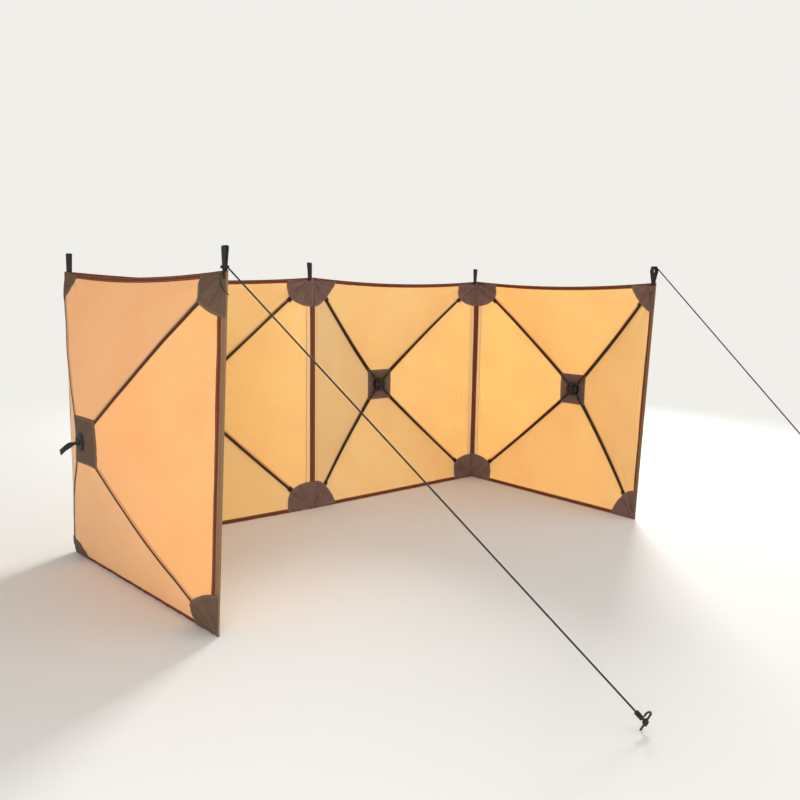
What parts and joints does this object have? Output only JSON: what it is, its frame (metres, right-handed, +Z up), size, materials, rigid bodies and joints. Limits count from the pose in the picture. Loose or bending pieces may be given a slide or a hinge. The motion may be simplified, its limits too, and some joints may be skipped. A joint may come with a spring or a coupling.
{
  "type": "beach windbreak",
  "caption": "Folding beach windbreak of square cloth panels with popped hubs, jointed at their seams, with guy lines and pegs.",
  "frame": {"origin": "at ground level on the hinge line of the seam between the two back panels", "axes": "+Z up; X along the back wall; -Y towards the sheltered side, +Y towards the wind"},
  "size_m": [3.4101, 3.2467, 1.4934],
  "materials": {
    "canvas": "matte",
    "trim": "matte",
    "webbing": "matte",
    "rod": "satin",
    "moulding": "matte",
    "guy_cord": "matte",
    "peg_metal": "satin"
  },
  "bodies": {
    "left_wing": {"left_wing_top_gore": "canvas", "left_wing_bottom_gore": "canvas", "left_wing_side_gores": "canvas", "left_wing_hems": "trim", "left_wing_side_bands": "trim", "left_wing_corner_patches": "trim", "left_wing_hub_patches": "trim", "left_wing_hub": "moulding", "left_wing_sockets": "moulding", "left_wing_rods": "rod", "left_wing_webbing": "webbing", "left_guy": "guy_cord", "left_peg": "peg_metal", "left_guy_tail": "guy_cord"},
    "back_left": {"back_left_top_gore": "canvas", "back_left_bottom_gore": "canvas", "back_left_side_gores": "canvas", "back_left_hems": "trim", "back_left_side_bands": "trim", "back_left_corner_patches": "trim", "back_left_hub_patches": "trim", "back_left_hub": "moulding", "back_left_sockets": "moulding", "back_left_rods": "rod", "back_left_webbing": "webbing"},
    "back_right": {"back_right_top_gore": "canvas", "back_right_bottom_gore": "canvas", "back_right_side_gores": "canvas", "back_right_hems": "trim", "back_right_side_bands": "trim", "back_right_corner_patches": "trim", "back_right_hub_patches": "trim", "back_right_hub": "moulding", "back_right_sockets": "moulding", "back_right_rods": "rod", "back_right_webbing": "webbing"},
    "right_wing": {"right_wing_top_gore": "canvas", "right_wing_bottom_gore": "canvas", "right_wing_side_gores": "canvas", "right_wing_hems": "trim", "right_wing_side_bands": "trim", "right_wing_corner_patches": "trim", "right_wing_hub_patches": "trim", "right_wing_hub": "moulding", "right_wing_sockets": "moulding", "right_wing_rods": "rod", "right_wing_webbing": "webbing", "right_guy": "guy_cord", "right_peg": "peg_metal"}
  },
  "joints": [
    {"name": "left_seam", "type": "hinge", "parent": "back_left", "child": "left_wing", "pos_m": [-1.39952, 0.03665, 0], "axis": [0, 0, -1], "range_deg": [-9, 141]},
    {"name": "back_seam", "type": "hinge", "parent": "back_left", "child": "back_right", "pos_m": [0, 0, 0], "axis": [0, 0, 1], "range_deg": [-48, 42]},
    {"name": "right_seam", "type": "hinge", "parent": "back_right", "child": "right_wing", "pos_m": [1.39952, 0.03665, 0], "axis": [0, 0, 1], "range_deg": [-14, 136]}
  ]
}
